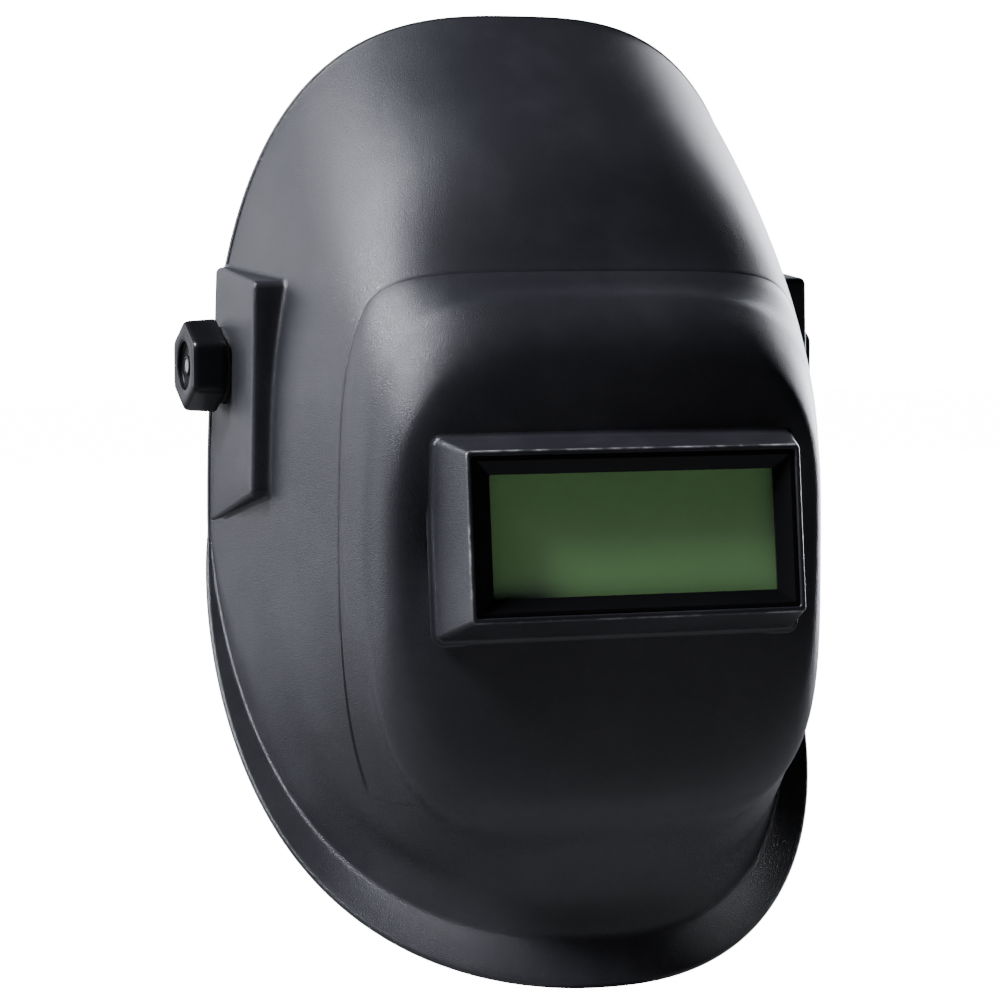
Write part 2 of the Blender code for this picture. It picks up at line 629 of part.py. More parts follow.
def ratchet(gear):
    """Housing halves, screws, pinion, knob and detent spring at the back of the band."""
    inner_y = TAIL_LAYERS["right"] - BAND_THICK / 2 - GAP
    outer_y = BACK_Y + BAND_THICK / 2 + GAP
    cover_y = outer_y + 3.3
    half_x, half_z = HOUSING

    rear = block("ratchet_housing_rear", (-half_x, inner_y + GAP, -half_z), (half_x, cover_y, half_z), "nylon", gear)
    channel = block("housing_channel", (-half_x - 5, inner_y - 3, -CHANNEL_HALF), (half_x + 5, outer_y, CHANNEL_HALF),
                    parent=gear)
    bevel(rear, 1.0, 1)
    cut(rear, channel)
    shaft_hole = rod("shaft_hole", 3.0 + GAP, outer_y - 3, cover_y + 3, "Y", parent=gear)
    cut(rear, shaft_hole)

    front = block("ratchet_housing_front", (-half_x, inner_y - 2.6, -half_z), (half_x, inner_y, half_z), "nylon", gear)
    bevel(front, 0.8, 1)
    for side, word in ((1, "left"), (-1, "right")):
        place = (side * 28.0, -12.2)
        hole = rod("screw_hole_" + word, 1.1 + GAP, inner_y - 8, cover_y - 2.0, "Y", parent=gear, centre=place, sides=12)
        cut(front, hole)
        cut(rear, hole)
        screw = rod("housing_screw_" + word, 1.1, inner_y - 3.4, cover_y - 2.6, "Y", "steel", gear, place, sides=12)
        head = rod("screw_head_" + word, 2.1, inner_y - 4.4, inner_y - 2.9, "Y", parent=gear, centre=place, sides=16)
        cut(screw, head, "UNION")

    knob_y = cover_y + GAP
    pinion = loft("ratchet_pinion", [gear_outline(inner_y + GAP), gear_outline(outer_y - GAP)], "nylon", gear)
    shaft = rod("pinion_shaft", 2.7, outer_y - 2, knob_y + 7.0, "Y", parent=gear, sides=24)
    cut(pinion, shaft, "UNION")

    knob = rod("ratchet_knob", 20.0, knob_y, knob_y + 11.0, "Y", "knob", gear, sides=48)
    bevel(knob, 1.2, 2)
    for k in range(12):
        angle = 2 * math.pi * k / 12
        scallop = rod(f"knob_scallop_{k}", 2.6, knob_y + 1.5, knob_y + 14, "Y", parent=gear,
                      centre=(21.2 * math.cos(angle), 21.2 * math.sin(angle)), sides=10)
        cut(knob, scallop)
    shaft_seat = rod("shaft_seat", 3.0, knob_y - 2, knob_y + 7.3, "Y", parent=gear, sides=24)
    cut(knob, shaft_seat)
    spring_room = rod("spring_room", 15.0, knob_y - 2, knob_y + 3.4, "Y", parent=gear, sides=32)
    hub = rod("spring_room_hub", 5.0, knob_y - 3, knob_y + 5, "Y", parent=gear, sides=24)
    cut(spring_room, hub)
    cut(knob, spring_room)
    smooth(knob)

    turns = [math.radians(200 + 140 * i / 20) for i in range(21)]
    coil = [(12.6 * math.cos(a), knob_y + 1.4, 12.6 * math.sin(a)) for a in turns]
    poly_tube("detent_spring", coil, 0.6, "steel", gear)

    strip = loft("rear_pad", [
        rounded_rectangle(36.0 - inset, 15.0 - inset, 5.0, inner_y - 3.4 - 1.5 - depth)
        for depth, inset in ((0.0, 0.6), (3.0, 0.0), (5.5, 1.6))
    ], "foam", gear)
    smooth(strip)


def main():
    clear_scene()
    window = bpy.data.objects.new("window_axis", None)
    gear = bpy.data.objects.new("headgear_axis", None)
    for empty in (window, gear):
        bpy.data.collections[PARTS].objects.link(empty)
    window.location = tuple(MM * v for v in WINDOW_CENTRE)
    window.rotation_euler.x = WINDOW_TILT
    gear.rotation_euler.x = HEAD_TILT

    helmet_shell(window)
    window_stack(window)
    lens_clip(window)
    headband(gear)
    soft_strip("sweatband", 62.0, 3.4, 34.0, -BAND_THICK / 2 - GAP - 1.7, "foam", gear)
    for side, word in ((1, "left"), (-1, "right")):
        tension_pivot(side, word)
        side_arm(side, word, gear)
        band_tail(side, word, gear)
        crown_strap(side, word, gear)
    crown_peg(gear)
    ratchet(gear)


main()
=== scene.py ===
"""Welding helmet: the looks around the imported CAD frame. Lengths in the tables are millimetres."""

import json
import math

import bpy
import numpy as np
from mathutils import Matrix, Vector
from mathutils.bvhtree import BVHTree


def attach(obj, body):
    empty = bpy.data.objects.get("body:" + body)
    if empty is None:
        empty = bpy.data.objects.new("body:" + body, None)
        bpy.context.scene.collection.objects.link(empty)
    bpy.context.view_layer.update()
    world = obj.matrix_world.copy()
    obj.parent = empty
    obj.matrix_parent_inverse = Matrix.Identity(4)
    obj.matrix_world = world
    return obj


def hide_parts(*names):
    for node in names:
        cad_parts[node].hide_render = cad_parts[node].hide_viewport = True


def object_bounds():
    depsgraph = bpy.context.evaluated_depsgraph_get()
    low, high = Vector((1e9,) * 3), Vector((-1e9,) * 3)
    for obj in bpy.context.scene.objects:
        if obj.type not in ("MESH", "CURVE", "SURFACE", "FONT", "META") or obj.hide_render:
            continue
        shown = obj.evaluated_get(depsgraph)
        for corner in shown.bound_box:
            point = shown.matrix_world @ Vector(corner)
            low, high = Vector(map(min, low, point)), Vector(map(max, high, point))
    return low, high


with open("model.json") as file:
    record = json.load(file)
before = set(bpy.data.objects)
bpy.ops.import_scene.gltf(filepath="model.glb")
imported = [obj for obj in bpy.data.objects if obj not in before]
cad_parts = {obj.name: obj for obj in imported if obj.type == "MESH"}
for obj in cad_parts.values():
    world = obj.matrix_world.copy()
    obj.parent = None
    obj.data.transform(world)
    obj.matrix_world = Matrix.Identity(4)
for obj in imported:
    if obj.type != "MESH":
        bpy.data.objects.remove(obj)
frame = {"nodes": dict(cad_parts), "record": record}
cad_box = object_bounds()
NODES = frame["nodes"]
MM = 0.001

# ---------------------------------------------------------------- camera

VIEW_AZIMUTH, VIEW_ELEVATION, VIEW_DISTANCE = math.radians(21.0), math.radians(4.4), 1.25
VIEW_CENTRE, VIEW_ASIDE = (0.0, -0.065, -0.047), (-0.0218, 0.0014, 0.0)
LENS, SENSOR = 130.2, 36.0


def make_camera():
    centre = Vector(VIEW_CENTRE)
    away = Vector((
        -math.sin(VIEW_AZIMUTH) * math.cos(VIEW_ELEVATION),
        -math.cos(VIEW_AZIMUTH) * math.cos(VIEW_ELEVATION),
        math.sin(VIEW_ELEVATION),
    ))
    place = centre + away * VIEW_DISTANCE
    level = (-away).to_track_quat("-Z", "Y")
    aim = centre + level @ Vector(VIEW_ASIDE)
    camera = bpy.data.objects.new("camera", bpy.data.cameras.new("camera"))
    bpy.context.scene.collection.objects.link(camera)
    camera.location = place
    camera.rotation_euler = (aim - place).to_track_quat("-Z", "Y").to_euler()
    camera.data.sensor_width = SENSOR
    camera.data.lens = LENS
    bpy.context.scene.camera = camera


make_camera()

# ---------------------------------------------------------------- materials


class Shader:
    """A Principled material that is built up a node at a time."""

    def __init__(self, name, colour, roughness, **sockets):
        self.material = bpy.data.materials.new(name)
        self.material.use_nodes = True
        self.tree = self.material.node_tree
        self.main = self.tree.nodes["Principled BSDF"]
        self.main.inputs["Base Color"].default_value = (*colour, 1.0)
        self.main.inputs["Roughness"].default_value = roughness
        for socket, value in sockets.items():
            self.main.inputs[socket.replace("_", " ").title().replace("Ior", "IOR")].default_value = value
        self.colour = (*colour, 1.0)
        self.place = self.node("ShaderNodeTexCoord").outputs["Object"]
        self.bumped = None

    def node(self, kind, inputs=None, **settings):
        made = self.tree.nodes.new(kind)
        for key, value in settings.items():
            setattr(made, key, value)
        for key, value in (inputs or {}).items():
            if isinstance(value, bpy.types.NodeSocket):
                self.tree.links.new(value, made.inputs[key])
            else:
                made.inputs[key].default_value = value
        return made

    def noise(self, scale, detail=2.0, rough=0.5, stretch=None):
        vector = self.place
        if stretch:
            vector = self.node("ShaderNodeMapping", {"Vector": self.place, "Scale": stretch}).outputs[0]
        made = self.node("ShaderNodeTexNoise", {"Vector": vector, "Scale": scale, "Detail": detail, "Roughness": rough})
        return made.outputs["Fac"]

    def spread(self, value, low, high, out_low, out_high):
        made = self.node("ShaderNodeMapRange", {
            "Value": value, "From Min": low, "From Max": high, "To Min": out_low, "To Max": out_high})
        return made.outputs["Result"]

    def bump(self, height, strength, distance):
        inputs = {"Height": height, "Strength": strength, "Distance": distance}
        if self.bumped:
            inputs["Normal"] = self.bumped
        self.bumped = self.node("ShaderNodeBump", inputs).outputs["Normal"]
        self.tree.links.new(self.bumped, self.main.inputs["Normal"])

    def tint(self, factor, other):
        """Mixes another colour in where factor is high."""
        mix = self.node("ShaderNodeMix", data_type="RGBA")
        self.tree.links.new(factor, mix.inputs["Factor"])
        linked = self.main.inputs["Base Color"].links
        if linked:
            self.tree.links.new(linked[0].from_socket, mix.inputs["A"])
        else:
            mix.inputs["A"].default_value = self.colour
        mix.inputs["B"].default_value = (*other, 1.0)
        self.tree.links.new(mix.outputs["Result"], self.main.inputs["Base Color"])

    def rough(self, value):
        self.tree.links.new(value, self.main.inputs["Roughness"])


def moulded(name, colour, roughness, grain, grain_depth, light=(0.06, 0.06, 0.066), wear_and_highlight=0.5,
            worn_and_highlit_edges=False, gloss=0.5):
    """Moulded plastic: fine grain, slow variation in gloss and colour, and a few pale scuffs."""
    made = Shader(name, colour, roughness, specular_ior_level=gloss)
    slow = made.noise(14.0, 3.0)
    made.rough(made.spread(slow, 0.35, 0.65, roughness - 0.03, roughness + 0.03))
    made.tint(made.spread(made.noise(35.0, 4.0, 0.6), 0.45, 0.8, 0.0, 0.25), light)
    scuffs = made.noise(420.0, 2.0, 0.5, (1.0, 1.0, 0.25))
    made.tint(made.spread(scuffs, 0.77, 0.83, 0.0, wear_and_highlight), light)
    made.bump(made.noise(grain, 2.0, 0.6), 0.5, grain_depth)
    # Edges marked in the mesh get a pale grey tint: partly wear, partly a painted highlight.
    if worn_and_highlit_edges:
        edge = made.node("ShaderNodeAttribute", attribute_name="edge_wear_and_highlight").outputs["Fac"]
        patch = made.spread(made.noise(90.0, 3.0, 0.7), 0.46, 0.66, 0.08, 1.0)
        worn_and_highlit = made.node("ShaderNodeMath", {0: edge, 1: patch}, operation="MULTIPLY").outputs[0]
        made.tint(worn_and_highlit, (0.3, 0.3, 0.31))
    return made.material


def metal(name, colour, roughness):
    """Plated metal: fine uneven gloss and duller patches."""
    made = Shader(name, colour, roughness, metallic=1.0)
    lines = made.noise(900.0, 3.0, 0.6)
    made.rough(made.spread(lines, 0.3, 0.7, roughness * 0.75, roughness * 1.3))
    made.tint(made.spread(made.noise(160.0, 3.0), 0.5, 0.8, 0.0, 0.35), tuple(c * 0.55 for c in colour))
    made.bump(lines, 0.2, 0.00003)
    return made.material


def cloth(name, colour, light, weave):
    """Brushed cloth over foam: two crossed sets of threads, fuzz and slow shading."""
    made = Shader(name, colour, 0.95, sheen_weight=0.35, sheen_roughness=0.5, specular_ior_level=0.2)
    across = made.node("ShaderNodeTexWave", {"Vector": made.place, "Scale": weave, "Distortion": 1.5},
                       bands_direction="X").outputs["Fac"]
    along = made.node("ShaderNodeTexWave", {"Vector": made.place, "Scale": weave, "Distortion": 1.5},
                      bands_direction="Z").outputs["Fac"]
    threads = made.node("ShaderNodeMath", {0: across, 1: along}, operation="MULTIPLY").outputs[0]
    made.tint(made.spread(threads, 0.2, 0.9, 0.0, 0.6), light)
    made.tint(made.spread(made.noise(60.0, 4.0, 0.7), 0.5, 0.85, 0.0, 0.5), light)
    made.bump(threads, 0.5, 0.0002)
    made.bump(made.noise(1400.0, 3.0, 0.7), 0.4, 0.0001)
    return made.material


def glass_green():
    made = Shader("filter_green", (0.28, 0.62, 0.17), 0.35, specular_ior_level=0.2)
    made.tint(made.spread(made.noise(9.0, 1.0), 0.4, 0.7, 0.0, 0.15), (0.245, 0.565, 0.15))
    made.rough(made.spread(made.noise(40.0, 2.0), 0.3, 0.7, 0.3, 0.4))
    return made.material


def clear_plate():
    made = Shader("cover_clear", (0.8, 0.86, 0.82), 0.06, alpha=0.06, specular_ior_level=0.25)
    made.rough(made.spread(made.noise(50.0, 2.0), 0.3, 0.7, 0.05, 0.08))
    return made.material


LOOKS = {
    # The shell's marked rim edges are tinted pale: partly wear, partly a painted highlight.
    "shell": moulded("shell_black", (0.018, 0.018, 0.0215), 0.345, 2700.0, 0.00036, worn_and_highlit_edges=True),
    "window_frame": moulded("frame_black", (0.0035, 0.0035, 0.004), 0.5, 1800.0, 0.00002,
                            (0.008, 0.008, 0.009), 0.2, gloss=0.2),
    "filter_glass": glass_green(),
    "clear_lens": clear_plate(),
    "soft_rubber": moulded("rubber_black", (0.016, 0.016, 0.016), 0.75, 1500.0, 0.00008),
    "steel": metal("zinc_steel", (0.62, 0.62, 0.64), 0.28),
    "brass": metal("plain_brass", (0.72, 0.5, 0.2), 0.3),
    "knob_plastic": moulded("knob_black", (0.004, 0.004, 0.005), 0.33, 1800.0, 0.00003,
                            (0.02, 0.02, 0.022), 0.6, gloss=0.3),
    "headgear_plastic": moulded("nylon_black", (0.028, 0.028, 0.031), 0.46, 1600.0, 0.00006),
    "foam": cloth("pad_cloth", (0.035, 0.035, 0.04), (0.11, 0.11, 0.12), 420.0),
}

THREAD = cloth("thread_grey", (0.09, 0.09, 0.1), (0.2, 0.2, 0.21), 1500.0)

SLOT_OF = {entry["node"]: entry["material_slot"] for entry in frame["record"]["subparts"]}
for node_name, node in NODES.items():
    node.data.materials.clear()
    node.data.materials.append(LOOKS[SLOT_OF[node_name]])

# ---------------------------------------------------------------- mesh helpers


def add_mesh(name, vertices, faces, look, body, sharp=35.0):
    mesh = bpy.data.meshes.new(name)
    mesh.from_pydata([tuple(v) for v in vertices], [], faces)
    mesh.validate()
    piece = bpy.data.objects.new(name, mesh)
    bpy.context.scene.collection.objects.link(piece)
    mesh.materials.append(LOOKS[look])
    mesh.shade_smooth()
    mesh.set_sharp_from_angle(angle=math.radians(sharp))
    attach(piece, body)
    return piece


def ring_faces(rings, around, closed=False):
    """Quads between rings of vertices that follow one another in the list."""
    faces = []
    for j in range(rings if closed else rings - 1):
        a, b = j * around, ((j + 1) % rings) * around
        for i in range(around):
            k = (i + 1) % around
            faces.append((a + i, a + k, b + k, b + i))
    return faces


def capped_faces(rings, around):
    """The quads between the rings, with the first and the last ring closed off."""
    last = (rings - 1) * around
    return ring_faces(rings, around) + [tuple(range(around)), tuple(reversed(range(last, last + around)))]


def outward(vertices, faces):
    """Turns all faces round if the closed surface has them facing in."""
    vertices = np.asarray(vertices)
    total = 0.0
    for face in faces:
        p = vertices[list(face)]
        for k in range(1, len(face) - 1):
            total += float(np.dot(p[0], np.cross(p[k], p[k + 1])))
    return faces if total > 0 else [tuple(reversed(face)) for face in faces]


def mark(piece, name, values):
    layer = piece.data.attributes.new(name, "FLOAT", "POINT")
    layer.data.foreach_set("value", np.asarray(values, np.float32))


def join_parts(parts):
    vertices, faces = [], []
    for part_vertices, part_faces in parts:
        first = len(vertices)
        vertices += [tuple(v) for v in part_vertices]
        faces += [tuple(first + i for i in face) for face in outward(part_vertices, part_faces)]
    return vertices, faces


# ---------------------------------------------------------------- shell

OUTLINES = (
    # half-width, widest z, top z, bottom z, top and bottom power, y at side, top and bottom, tapers, power of y below
    (59.0, -52.0, -22.0, -82.0, 6.0, 6.0, -111.5, -118.0, -121.0, 0.0, 0.0, 2.0),
    (64.0, -52.0, -17.0, -87.5, 6.0, 6.0, -111.5, -118.0, -121.0, 0.0, 0.0, 2.0),
    (76.0, -57.0, 10.0, -134.0, 3.6, 4.0, -109.5, -115.5, -118.5, 0.03, 0.06, 2.0),
    (81.7, -60.0, 24.5, -149.0, 4.2, 4.4, -99.5, -107.0, -114.5, 0.07, 0.07, 2.0),
    (85.7, -61.0, 34.0, -161.0, 5.0, 4.6, -87.0, -94.5, -107.5, 0.06, 0.2, 2.0),
    (97.4, -55.5, 78.0, -176.5, 3.9, 2.9, -42.0, -71.0, -103.0, 0.11, 0.0, 1.9),
    (104.8, -55.5, 122.3, -190.8, 2.95, 2.76, 12.3, -20.0, -103.6, 0.0, -0.05, 1.53),
)
FLANGE = (0.7, 15.8, -0.03, 0.47, 0.855)
WALL = 2.5
AROUND = 336
SEAM_PLANE, SEAM_TOP, SEAM_BOTTOM = -83.0, 34.0, -144.0
ANGLES = np.arange(AROUND) * 2 * math.pi / AROUND
PAD_FACE, PAD_LEAN = 103.9, 0.018
SPOT_RADIUS, SPOT_X = 18.0, 103.1
POCKET_RADIUS, POCKET_X = 22.0, 100.2


def outline(values, angle):
    half, wide_z, top, bottom, power_up, power_down, y_side, y_top, y_bottom, taper_up, taper_down, y_power = (
        np.moveaxis(np.asarray(values, float), -1, 0))
    c, s = np.cos(angle), np.sin(angle)
    up = s >= 0
    power = np.where(up, power_up, power_down)
    reach = (np.abs(c) ** power + np.abs(s) ** power) ** (-1 / power)
    height = s * reach
    x = half * c * reach * (1 - np.where(up, taper_up, taper_down) * height * height)
    z = wide_z + np.where(up, top - wide_z, wide_z - bottom) * height
    y = y_side + (np.where(up, y_top, y_bottom) - y_side) * np.abs(s) ** np.where(up, 2.0, y_power)
    return np.stack([x, y, z], -1)


def lip_edge():
    """The edge of the flange that stands out from the crease and dies away towards the ears."""
    crease = outline(OUTLINES[-1], ANGLES)
    way = outline(OUTLINES[-1], ANGLES + 0.01) - crease
    way /= np.hypot(way[:, 0], way[:, 2])[:, None]
    least, most, start, lean, power = FLANGE
    down = np.maximum(0.0, (start - np.sin(ANGLES)) / (1 + start))
    wide = least + (most - least) * down ** power
    return crease + wide[:, None] * np.stack([way[:, 2], -lean * np.minimum(1.0, 2 * down), -way[:, 0]], -1)


def skin(at):
    """Points of the outer surface at fractional places along the outlines, one per angle."""
    table = np.array(OUTLINES)
    table = np.vstack([2 * table[0] - table[1], table, 2 * table[-1] - table[-2]])
    at = np.broadcast_to(np.asarray(at, float), (AROUND,))
    i = np.clip(at.astype(int), 0, len(OUTLINES) - 2)
    t = (at - i)[:, None]
    a, b, c, d = (table[i + k] for k in range(4))
    values = 0.5 * (2 * b + (c - a) * t + (2 * a - 5 * b + 4 * c - d) * t * t + (3 * b - a - 3 * c + d) * t ** 3)
    return outline(values, ANGLES)


def seam_distance(points):
    """Signed distance from the insert's seam, a rounded box in side view, positive towards the rim."""
    middle, half = (SEAM_TOP + SEAM_BOTTOM) / 2, (SEAM_TOP - SEAM_BOTTOM) / 2
    corner = np.where(points[:, 2] > middle, 14.0, 3.0)
    q_y = points[:, 1] - SEAM_PLANE + corner
    q_z = np.abs(points[:, 2] - middle) - half + corner
    outside = np.hypot(np.maximum(q_y, 0), np.maximum(q_z, 0))
    return outside + np.minimum(np.maximum(q_y, q_z), 0) - corner


def find_seam():
    low, high = np.full(AROUND, 1.6), np.full(AROUND, 5.6)
    for _ in range(30):
        middle = (low + high) / 2
        beyond = seam_distance(skin(middle)) > 0
        high, low = np.where(beyond, middle, high), np.where(beyond, low, middle)
    return (low + high) / 2


def speed(at):
    return np.linalg.norm(skin(at + 0.01) - skin(at - 0.01), axis=1) / 0.02


def ease(low, high, value):
    t = np.clip((value - low) / (high - low), 0, 1)
    return t * t * (3 - 2 * t)


def grid_normals(rings):
    along = np.gradient(rings, axis=0)
    around = np.roll(rings, -1, 1) - np.roll(rings, 1, 1)
    normal = np.cross(along, around)
    normal /= np.linalg.norm(normal, axis=2, keepdims=True) + 1e-12
    return normal


def build_skin():
    seam = find_seam()
    rings = [skin(0.0), skin(0.5), skin(1.0)]
    for k in range(1, 39):
        rings.append(skin(1.0 + (seam - 1.0) * k / 40))
    low_side = ease(-60.0, -125.0, skin(seam)[:, 2]) * ease(0.35, 0.6, np.abs(np.cos(ANGLES)))
    width = 0.26 + 0.45 * low_side
    depth = 0.12 + 0.6 * low_side
    depth = depth * (1 - 0.93 * ease(-138.0, -142.5, skin(seam)[:, 2]))
    step = width / speed(seam)
    groove_at = len(rings) + 1
    rings += [skin(seam - step), skin(seam), skin(seam + step)]
    crease, lip = skin(6.0), lip_edge()
    flange = lip - crease
    flange_width = np.linalg.norm(flange, axis=1, keepdims=True)
    flange_way = flange / flange_width
    fillet = np.minimum(1.6, 0.45 * flange_width[:, 0])
    dome_end = 6.0 - fillet / (np.linalg.norm(crease - skin(5.95), axis=1) / 0.05)
    start = seam + step
    for k in range(1, 53):
        rings.append(skin(start + (dome_end - start) * k / 52))
    before, after = rings[-1], crease + flange_way * fillet[:, None]
    for k in range(1, 7):
        t = k / 6
        rings.append(before * (1 - t) ** 2 + crease * 2 * t * (1 - t) + after * t * t)
    edge = np.minimum(WALL / 2, 0.4 * flange_width)
    last = lip - flange_way * edge
    for k in range(1, 6):
        rings.append(after + (last - after) * k / 5)
    rings = np.array(rings)
    normals = grid_normals(rings)
    middle = rings[:, :, 1] < -100
    if np.mean(normals[middle][:, 1]) > 0:
        normals = -normals
    inner = rings - normals * WALL
    outer = rings.copy()
    outer[groove_at] -= normals[groove_at] * depth[:, None]
    turn = []
    for k in range(1, 8):
        a = math.pi / 2 - math.pi * k / 8
        turn.append(last - normals[-1] * WALL / 2 * (1 - math.sin(a)) + flange_way * edge * math.cos(a))
    full = np.concatenate([outer, np.array(turn), inner[::-1][:-1:2], inner[:1]])
    inner_from = len(outer) + len(turn)
    side = np.sign(full[..., 0])
    x = np.abs(full[..., 0])
    from_axis = np.hypot(full[..., 1], full[..., 2])
    spot = SPOT_X + 0.1 + 30.0 * ease(SPOT_RADIUS - 0.4, SPOT_RADIUS + 2.5, from_axis)
    x = np.minimum(x, spot)
    pocket = np.where(np.arange(len(full))[:, None] < inner_from - 3, POCKET_X + 0.7, POCKET_X + 0.1)
    near = ease(POCKET_RADIUS + 1.6, POCKET_RADIUS + 0.2, from_axis) * (full[..., 1] < 30) * (x > 80)
    x = np.where(x < pocket, x + (pocket - x) * near, x)
    full[..., 0] = side * x
    return full


SKIN = build_skin()
skin_vertices = SKIN.reshape(-1, 3)
skin_faces = ring_faces(len(SKIN), AROUND, closed=True)
SKIN_TREE = BVHTree.FromPolygons([tuple(v) for v in skin_vertices], skin_faces)


def rounded_polygon(corners, offsets, radius, arc=6, straight=6):
    """A convex polygon with each edge moved out by its own offset and its corners rounded."""
    count = len(corners)
    centre = np.mean(corners, axis=0)
    lines = []
    for i in range(count):
        a, b = np.array(corners[i], float), np.array(corners[(i + 1) % count], float)
        way = (b - a) / np.linalg.norm(b - a)
        normal = np.array([way[1], -way[0]])
        if np.dot(normal, a - centre) < 0:
            normal = -normal
        lines.append((a + normal * offsets[i], way, normal))
    points = []
    for i in range(count):
        (p, u, n_before), (q, v, n_after) = lines[i - 1], lines[i]
        t = np.linalg.solve(np.column_stack([u, -v]), q - p)[0]
        corner = p + u * t
        half_turn = math.acos(np.clip(np.dot(u, v), -1, 1)) / 2
        back = radius * math.tan(half_turn)
        start, end = corner - u * back, corner + v * back
        middle = corner - (n_before + n_after) / np.linalg.norm(n_before + n_after) * radius / math.cos(half_turn)
        a0 = math.atan2(*(start - middle)[::-1])
        a1 = math.atan2(*(end - middle)[::-1])
        a1 = a0 + (a1 - a0 + math.pi) % (2 * math.pi) - math.pi
        for k in range(arc + 1):
            a = a0 + (a1 - a0) * k / arc
            points.append(middle + radius * np.array([math.cos(a), math.sin(a)]))
        points.append(None)
    result = []
    for i, p in enumerate(points):
        if p is not None:
            result.append(p)
            continue
        start, end = points[i - 1], points[(i + 1) % len(points)]
        result += [start + (end - start) * k / straight for k in range(1, straight)]
    return np.array(result)


def skin_x(y, z, side):
    hit = SKIN_TREE.ray_cast(Vector((side * 140.0, y, z)), Vector((-side, 0.0, 0.0)))
    return side * hit[0].x if hit[0] else 94.0


PAD_CORNERS = ((-40.0, 30.0), (-40.0, -43.0), (12.6, -56.5), (8.0, 34.6))
PAD_EDGE = 1.5
PAD_FILLET = 1.4


def build_pad(side):
    """A side pad: flat face, rounded edge, upright wall and a fillet that runs out on the shell."""
    rings = []

    def add(offset, x_of):
        flat = rounded_polygon(PAD_CORNERS, (offset, offset, 0.0, offset), max(0.6, 2.6 + offset), straight=14)
        rings.append([(side * x_of(y, z), y, z) for y, z in flat])

    def face(z):
        return PAD_FACE - PAD_LEAN * z

    def above(lift):
        return lambda y, z: min(skin_x(y, z, side), face(z) - 1.2) + lift

    add(-9.0, lambda y, z: face(z))
    for k in range(6):
        a = math.pi / 2 * k / 5
        add(-PAD_EDGE * (1 - math.sin(a)), lambda y, z, a=a: face(z) - PAD_EDGE * (1 - math.cos(a)))
    foot = above(PAD_FILLET)
    for t in (0.35, 0.7):
        add(0.0, lambda y, z, t=t: face(z) - PAD_EDGE + (min(foot(y, z), face(z) - PAD_EDGE) - face(z) + PAD_EDGE) * t)
    for k in range(6):
        a = math.pi / 2 * k / 5
        lift = PAD_FILLET * (1 - math.sin(a))
        add(PAD_FILLET * (1 - math.cos(a)), lambda y, z, lift=lift: min(above(lift)(y, z), face(z) - PAD_EDGE - 0.1))
    add(PAD_FILLET + 0.5, above(-0.3))
    add(-2.4, above(-0.3))
    add(-2.4, lambda y, z: face(z) - 2.2)
    add(-9.0, lambda y, z: face(z) - 2.2)
    rings = np.array(rings)
    return rings.reshape(-1, 3), capped_faces(*rings.shape[:2])


# ---------------------------------------------------------------- bezel

WINDOW_CENTRE = np.array((0.0, -134.7, -51.3))
WINDOW_TILT = math.radians(-6.57)
TURN = np.array((
    (1, 0, 0),
    (0, math.cos(WINDOW_TILT), -math.sin(WINDOW_TILT)),
    (0, math.sin(WINDOW_TILT), math.cos(WINDOW_TILT)),
))
BEZEL_FILLET = 1.8


def in_window(points):
    return np.asarray(points, float) @ TURN.T + WINDOW_CENTRE


def rectangle(half_width, half_height, radius, arc=8, long=30, short=16):
    """Width and height of points along a rectangle with round corners."""
    points = []
    for quarter in range(4):
        sign_x = 1 if quarter in (0, 3) else -1
        sign_z = 1 if quarter < 2 else -1
        corner = np.array((sign_x * (half_width - radius), sign_z * (half_height - radius)))
        for k in range(arc + 1):
            a = math.pi / 2 * (quarter + k / arc)
            points.append(corner + radius * np.array((math.cos(a), math.sin(a))))
        a = math.pi / 2 * (quarter + 1)
        end = points[-1]
        follow = quarter + 1
        sign_x, sign_z = (1 if follow % 4 in (0, 3) else -1), (1 if follow % 4 < 2 else -1)
        start = np.array((sign_x * (half_width - radius), sign_z * (half_height - radius)))
        start = start + radius * np.array((math.cos(a), math.sin(a)))
        number = long if quarter in (0, 2) else short
        points += [end + (start - end) * k / number for k in range(1, number)]
    return points


def skin_depth(x, z):
    """Depth, in the window's frame, at which the shell's surface lies."""
    start = in_window((x, -20.0, z))
    way = TURN @ np.array((0.0, 1.0, 0.0))
    hit = SKIN_TREE.ray_cast(Vector(start), Vector(way))
    return min(hit[3] - 20.0, 22.0) if hit[0] else 22.0


